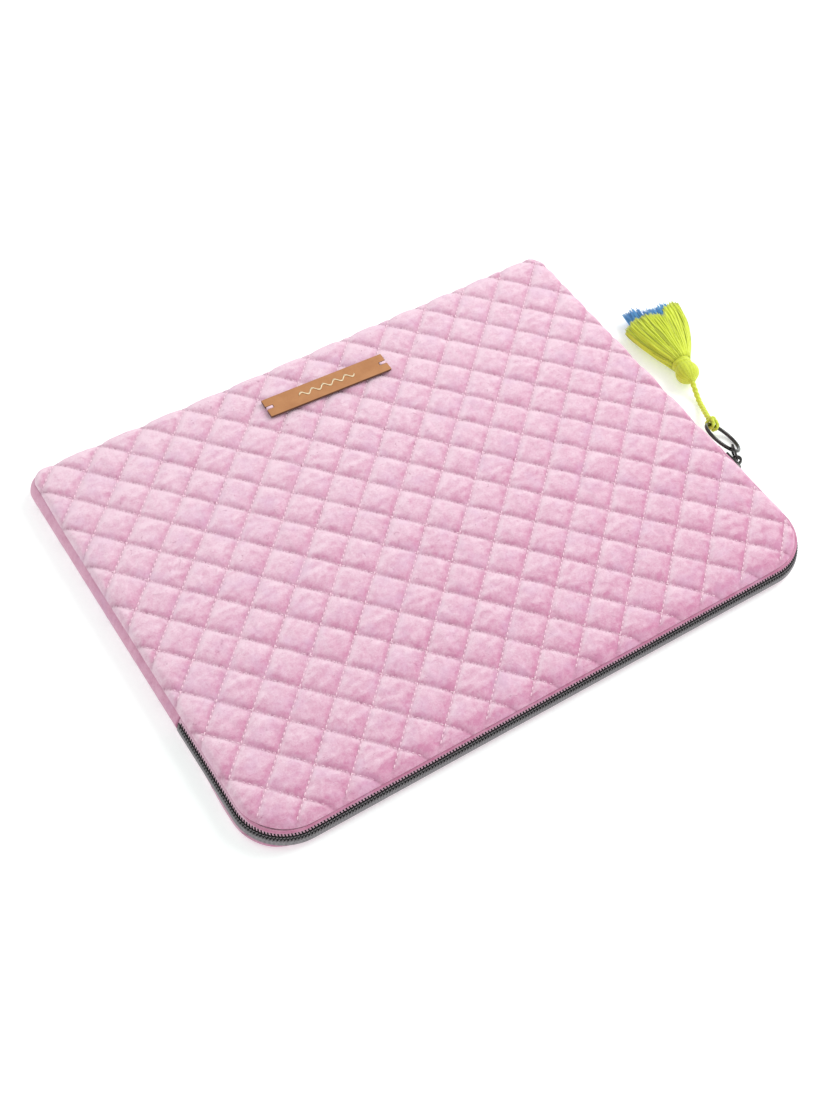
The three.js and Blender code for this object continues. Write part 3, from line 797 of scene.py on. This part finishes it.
def add_camera():
    """The camera that sees the sleeve from its front left corner."""
    data = bpy.data.cameras.new("camera")
    data.lens = LENS
    data.sensor_width = 36
    data.clip_start, data.clip_end = 0.01, 20
    made = bpy.data.objects.new("camera", data)
    bpy.context.scene.collection.objects.link(made)
    place = Vector(CAMERA_AT) * MM
    aim = Vector(CAMERA_AIM) * MM
    made.location = place
    roll = Quaternion((0, 0, 1), math.radians(CAMERA_ROLL))
    made.rotation_mode = "QUATERNION"
    made.rotation_quaternion = (aim - place).to_track_quat("-Z", "Y") @ roll
    bpy.context.scene.camera = made


def area_light(name, place, aim, size, power):
    """A square light, placed in metres."""
    data = bpy.data.lights.new(name, "AREA")
    data.size = size
    data.energy = power
    made = bpy.data.objects.new(name, data)
    bpy.context.scene.collection.objects.link(made)
    made.location = place
    made.rotation_euler = (Vector(aim) - Vector(place)).to_track_quat("-Z", "Y").to_euler()


# ---------------------------------------------------------------- tassel

TASSEL_AT = np.array([184.2, -27.4, 0])  # where its own frame starts, near the knot
TASSEL_TURN = math.radians(11.4)
TASSEL_SIDE = np.array([math.cos(TASSEL_TURN), -math.sin(TASSEL_TURN), 0])
TASSEL_ALONG = np.array([math.sin(TASSEL_TURN), math.cos(TASSEL_TURN), 0])
CORD_ROUTE = [(-3.9, 2.2, 6.4), (-2.9, 7.5, 5.0), (-1.6, 13, 3.2), (-0.5, 18.5, 1.9), (0, 24, 3.0),
              (0, 30.2, 6.2), (0, 37, 7.3), (0, 45, 7.3)]
CORD_RADIUS = 1.65
HEAD_AT = 38
HEAD_Z = 7.3
HEAD_RADIUS = 6.9
NECK_AT = 47  # where the skirts start to fan out
NECK_RADIUS = 6.0
FAN_LENGTH = 37
FAN_HALF = 19.0  # half the skirts' full width
FAN_HEIGHT = 6.4
BINDING_AT = 43.6
BINDING_RADIUS = 5.3
KNOT_AT = np.array([179.27, -29.35, 6.76])
RING_WAY = np.array([0.7708, -0.2079, -0.6022])  # along the ring's wire through the knot


def in_tassel(points):
    """From the tassel's own frame: across it, along it, up."""
    points = np.asarray(points, float)
    return (TASSEL_AT + points[..., :1] * TASSEL_SIDE + points[..., 1:2] * TASSEL_ALONG
            + points[..., 2:] * np.array([0, 0, 1.0]))


def make_cord(material):
    """Two-ply cord from the knot to the head, and its centre line."""
    path = in_tassel(curve_through(CORD_ROUTE, 120))
    points, faces = tube(path, CORD_RADIUS, sides=16, lobes=2, twist=1.0, depth=0.3)
    made = make("cord", points, faces, material)
    add_values(made, "yarn_tone_and_shade", 0.75 + 0.2 * np.sin(np.arange(len(points)) * 1.7))
    return made, path


def make_knot(material):
    """Cow hitch: two turns of the cord round the ring, their ends drawn back under the bight."""
    ahead = in_tassel(CORD_ROUTE[0]) - KNOT_AT
    ahead -= (ahead @ RING_WAY) * RING_WAY
    ahead /= np.linalg.norm(ahead)
    over = np.cross(RING_WAY, ahead)
    over *= np.sign(over[2])
    turn = [(0.4, 5.2, 0.9), (1.2, 3.0, 2.0), (1.75, 0.6, 2.4), (1.9, -1.6, 1.7), (1.9, -2.3, 0),
            (1.9, -1.4, -1.9), (1.8, 0.8, -2.2), (1.7, 2.6, -1.2), (1.5, 3.0, 0.6)]
    bight = [(0.9, 3.0, 2.5), (0, 2.8, 3.1)]
    half = turn + bight
    whole = half + [(-a, b, c) for a, b, c in half[::-1][1:]]
    path = curve_through([KNOT_AT + a * RING_WAY + b * ahead + c * over for a, b, c in whole], 190)
    points, faces = tube(path, 1.12, sides=12, lobes=2, twist=1.3, depth=0.3)
    made = make("knot", points, faces, material)
    add_values(made, "yarn_tone_and_shade", 0.7 + 0.2 * np.sin(np.arange(len(points)) * 2.1))
    return made


def make_head(material):
    """The folded-over middle of the yarn: a ball of strands."""
    along = np.concatenate([[-7.6, -7.3], np.linspace(-6.75, 5.6, 34)])
    radius = np.sqrt(np.clip(HEAD_RADIUS**2 - along**2, 0, None))
    radius = np.maximum(radius, 2.2)
    radius[0] = 1.5
    radius[along > 3.0] = np.maximum(radius[along > 3.0], 5.6)
    sides = 216
    angle = np.arange(sides) / sides * 2 * np.pi
    strand = np.abs(np.cos(angle * 36 + 0.6 * np.sin(angle * 5)))
    wander = 1 + 0.02 * np.sin(angle * 3 + 1) + 0.015 * np.sin(angle * 7)
    reach = radius[:, None] * (0.955 + 0.045 * strand)[None] * wander
    points = np.stack([reach * np.cos(angle), np.broadcast_to((HEAD_AT + along)[:, None], reach.shape),
                       HEAD_Z + reach * np.sin(angle)], axis=-1)
    faces = grid_faces(len(along), sides, closed=True)
    faces.append(list(range(sides)))
    faces.append([(len(along) - 1) * sides + k for k in range(sides)][::-1])
    made = make("head", in_tassel(points).reshape(-1, 3), faces, material)
    # painted shade in the grooves between strands, and a ripple of tone round the head
    yarn_tone_and_shade = 0.45 + 0.5 * np.broadcast_to(strand, reach.shape) + 0.15 * np.sin(angle * 18.5)
    add_values(made, "yarn_tone_and_shade", np.clip(yarn_tone_and_shade, 0, 1).ravel())
    return made


def make_binding(material):
    """Five turns of yarn round the neck."""
    turns, per_turn = 5, 40
    angle = np.arange(turns * per_turn) / per_turn * 2 * np.pi
    along = BINDING_AT + 0.72 * angle / (2 * np.pi)
    reach = BINDING_RADIUS + 0.12 * np.sin(angle * 0.5)
    path = in_tassel(np.stack([reach * np.cos(angle), along, HEAD_Z + reach * np.sin(angle)], axis=-1))
    points, faces = tube(path, 0.5, sides=8)
    made = make("binding", points, faces, material)
    add_values(made, "yarn_tone_and_shade", 0.8 + 0.15 * np.sin(np.arange(len(points)) * 0.9))
    return made


def lime_end(across):
    """How far the lime strands reach: shorter on the left, with a slit between two lobes."""
    places = [-20, -14, -6, 0, 3.5, 5, 7, 14, 20]
    return np.interp(across, places, [79, 82, 84, 83.5, 82, 80, 86, 90, 89.5])


def blue_end(across):
    """How far the blue strands reach: a little longer on both sides than in the middle."""
    places = [-18, -14, -8, -3, 0, 4, 10, 16, 20]
    return np.interp(across, places, [92, 93.5, 93, 90.5, 89, 90, 91.5, 92, 91])


def strands(name, count, start, ends, share, radius, material, seed):
    """Yarn strands that fan out from the neck, flattened where they lie on the table.
    Share is where they lie in the skirt's cross-section: 0 is its middle and 1 its outside."""
    pick = np.random.default_rng(seed)
    points, faces, yarn_tone_and_shade_values = [], [], []
    for number in range(count):
        angle = pick.uniform(0, 2 * np.pi)
        deep = math.sqrt(pick.uniform(share[0], share[1]))
        tip_across = FAN_HALF * deep * math.cos(angle)
        lobe = 1 if tip_across > 4 else -1
        tip = float(ends(tip_across)) + pick.normal(0, 0.9)
        along = np.linspace(start, tip, 13)
        t = np.clip((along - NECK_AT) / FAN_LENGTH, 0, 1.25)
        fan = np.sin(np.clip(t, 0, 1) * np.pi / 2) ** 0.85
        wide = NECK_RADIUS + (FAN_HALF - NECK_RADIUS) * fan + 1.2 * np.clip(t - 1, 0, 1)
        high = np.minimum(wide, FAN_HEIGHT - 1.0 * np.clip(t - 0.5, 0, 1))
        split = lobe * 0.9 * smoothstep(0.45, 1.1, t)
        sway = 0.8 * np.sin(t * pick.uniform(2, 5) + pick.uniform(0, 6)) * t
        x = wide * deep * math.cos(angle) + split + sway
        z = HEAD_Z + high * deep * math.sin(angle) - 0.8 * smoothstep(0.4, 1.1, t)
        z = np.maximum(z + 0.3 * np.sin(t * pick.uniform(3, 7) + pick.uniform(0, 6)), radius + 0.15)
        thick = radius * pick.uniform(0.85, 1.15) * np.ones(len(along))
        thick[-1] *= 0.75
        strand_points, strand_faces = tube(in_tassel(np.stack([x, along, z], axis=-1)), thick, sides=6)
        points.append(strand_points)
        first = number * len(strand_points)
        faces += [[first + k for k in face] for face in strand_faces]
        # painted shade and light: one strand in five dark, strands further inside the skirt darker, the
        # right-hand lobe lighter and the left one darker; each strand a little paler towards its tip
        tone = pick.choice([0.15, 0.7, 0.85, 1.0, 1.15]) * (0.5 + 0.5 * deep)
        side = 0.12 if lobe > 0 else -0.05
        yarn_tone_and_shade_values.append(np.clip(tone + side + 0.1 * np.linspace(0, 1, len(along)).repeat(6), 0, 1))
    made = make(name, np.concatenate(points), faces, material)
    add_values(made, "yarn_tone_and_shade", np.concatenate(yarn_tone_and_shade_values))
    return made


# ---------------------------------------------------------------- CAD pieces that only need finishing


def dress(names, finish, width):
    """Gives CAD pieces a material, and rounds their edges over width."""
    for name in names:
        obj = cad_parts[name]
        obj.data.materials.clear()
        obj.data.materials.append(finish)
        obj.data.shade_smooth()
        weld = obj.modifiers.new("weld", "WELD")
        weld.merge_threshold = 0.00002
        if width:
            edge = obj.modifiers.new("rounded", "BEVEL")
            edge.width = width * MM
            edge.segments = 3
            edge.limit_method = "ANGLE"
            edge.angle_limit = math.radians(35)
            edge.harden_normals = True


# ---------------------------------------------------------------- the scene

add_camera()

lime = yarn("lime_yarn", colour(222, 236, 58), colour(146, 160, 24), colour(244, 252, 130))
blue = yarn("blue_yarn", colour(92, 165, 220), colour(52, 116, 190), colour(150, 205, 238))
cord, cord_path = make_cord(lime)
knot = make_knot(lime)
head = make_head(lime)
binding = make_binding(lime)
skirt = strands("skirt", count=980, start=46.0, ends=lime_end, share=(0.5, 1.0), radius=0.33,
                material=lime, seed=3)
inner_skirt = strands("inner_skirt", count=420, start=58.0, ends=blue_end, share=(0.02, 0.5), radius=0.30,
                      material=blue, seed=4)

pink = velvet("velvet", colour(240, 211, 224), colour(206, 140, 171), colour(160, 96, 126),
              colour(218, 182, 210))
# a darker copy of the same velvet for the wall behind the zip and the lip over it: painted shade
pink_wall_shaded = velvet("velvet_wall_shaded", colour(222, 172, 194), colour(186, 114, 146), colour(150, 86, 115),
                   colour(204, 160, 192))
pink_thread = thread("quilting_thread", colour(255, 218, 233))
grey_thread = thread("zip_thread", colour(128, 124, 127))
tape_mauve = woven("zip_tape_upper", colour(196, 154, 174), colour(230, 192, 208), 4)
tape_grey = woven("zip_tape_lower", colour(104, 100, 104), colour(158, 154, 157), 4)
coil = nylon("zip_teeth")
metal = gunmetal("gunmetal")
hide = leather("leather")
gold = foil("foil")
wool = fluff("wadding")
lining_cloth = woven("lining", colour(190, 148, 168), colour(214, 176, 194), 5)

# quilted panels
top = panel("top_panel", top_z, TOP_RINGS, inner_z=14.6, way=1, material=pink)
bottom = panel("bottom_panel", bottom_z, BOTTOM_RINGS, inner_z=2.2, way=-1, material=pink)
top_thread = thread_dashes("top_quilting", top_z, way=1, inset=4.4, material=pink_thread)
bottom_thread = thread_dashes("bottom_quilting", bottom_z, way=-1, inset=4.8, material=pink_thread)

# stuffing and linings
top_wadding = layer("top_fleece", inset=5.6, low=uneven(12.7), high=uneven(14.35, 0.2, 9, 9, 2),
                    step=3, material=wool)
bottom_wadding = layer("bottom_fleece", inset=4.4, low=uneven(2.4), high=uneven(3.2, 0.1, 9, 9, 4),
                       step=3, material=wool)
top_lining = layer("top_lining_cloth", inset=2.8, low=uneven(11.7, 0.12, 22, 16, 6),
                   high=uneven(12.3, 0.12, 22, 16, 6), step=2.2, material=lining_cloth)
bottom_lining = layer("bottom_lining_cloth", inset=2.8, low=uneven(3.62, 0.08, 22, 16, 8),
                      high=uneven(4.1, 0.12, 22, 16, 8), step=2.2, material=lining_cloth)

# wall behind the zip
gusset_runs = np.linspace(ZIP_HALF + 0.3, AROUND - ZIP_HALF - 0.3, 620)
gusset = sweep("gusset", gusset_runs, gusset_profile, pink_wall_shaded)
gusset_lining = sweep("gusset_lining_cloth", gusset_runs[::3], strip_profile(1.9, 2.4, 3.6, 13.2),
                      lining_cloth)

# zip
zip_runs = np.linspace(-ZIP_HALF, ZIP_HALF, 700)
lower_tape = sweep("lower_tape_weave", zip_runs, lower_tape_profile(), tape_grey)
upper_tape = sweep("upper_tape_weave", zip_runs, strip_profile(0.55, 1.5, 9.2, 13.0),
                   tape_mauve)
lower_teeth = teeth("lower_teeth", up=-1, shift=0.5, back=2.7, material=coil)
upper_teeth = teeth("upper_teeth", up=1, shift=0.0, back=3.2, material=coil)
lower_zip_thread = running_thread("lower_zip_thread", COIL_MID_Z - 1.35, grey_thread)
upper_zip_thread = running_thread("upper_zip_thread", COIL_MID_Z + 1.0, grey_thread)
upper_lip = sweep("upper_lip", zip_runs, lip_profile, pink_wall_shaded)

# painted light on all the velvet, and painted shade in the quilted panels' seams
for obj, quilted in ((top, 1), (bottom, 1), (gusset, 0), (upper_lip, 0)):
    painted_light_values(obj, quilted)

# metal and leather
dress(["slider_body", "slider_inner_plate", "slider_bail", "pull_link", "zip_stop_left", "zip_stop_right"],
      metal, 0.3)
dress(["pull_ring"], metal, 0)
smooth_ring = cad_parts["pull_ring"].modifiers.new("smooth", "SUBSURF")
smooth_ring.levels = smooth_ring.render_levels = 2
dress(["leather_label"], hide, 0.3)
dress(["label_motif"], gold, 0)
dress(["label_stitch_left", "label_stitch_right"], pink_thread, 0)

# what moves with what
for obj, nodes in ((top, ("rear_top_velvet", "flap_velvet")),
                   (top_wadding, ("rear_top_wadding", "flap_wadding")),
                   (top_lining, ("rear_top_lining", "flap_lining")),
                   (top_thread, ()),
                   (upper_zip_thread, ()),
                   (upper_tape, ("upper_tape_front", "upper_tape_left_end", "upper_tape_right_end")),
                   (upper_teeth, ("upper_coil_front", "upper_coil_left_end", "upper_coil_right_end")),
                   (upper_lip, ("upper_lip_front", "upper_lip_left_end", "upper_lip_right_end"))):
    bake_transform(obj)
    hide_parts(*nodes)
for obj, nodes in ((bottom, ("bottom_velvet",)),
                   (bottom_thread, ()),
                   (bottom_wadding, ("bottom_wadding",)),
                   (bottom_lining, ("bottom_lining",)),
                   (gusset, ("gusset_velvet",)),
                   (gusset_lining, ("gusset_lining",)),
                   (lower_tape, ("lower_tape",)),
                   (lower_teeth, ("lower_coil",)),
                   (lower_zip_thread, ())):
    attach(obj, "root")
    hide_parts(*nodes)
for obj, node_name in ((cord, "tassel_cord"), (knot, "tassel_knot"), (head, "tassel_head"),
                       (binding, "tassel_binding"), (skirt, "tassel_skirt"),
                       (inner_skirt, "tassel_inner_skirt")):
    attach(obj, "tassel")
    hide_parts(node_name)

# floor, just under the part, and light
bpy.ops.mesh.primitive_plane_add(size=6, location=(0, 0, -0.0003))
floor = bpy.context.object
floor.name = "floor"
floor.data.materials.append(floor_material())

world = bpy.data.worlds.new("world")
world.use_nodes = True
sky = world.node_tree.nodes["Background"]
sky.inputs["Color"].default_value = (1, 1, 1, 1)
sky.inputs["Strength"].default_value = 0.80
bpy.context.scene.world = world
bpy.context.scene.view_settings.view_transform = "Standard"
area_light("key", place=(1.85, 0.1, 1.75), aim=(0, 0, 0), size=1.4, power=34)
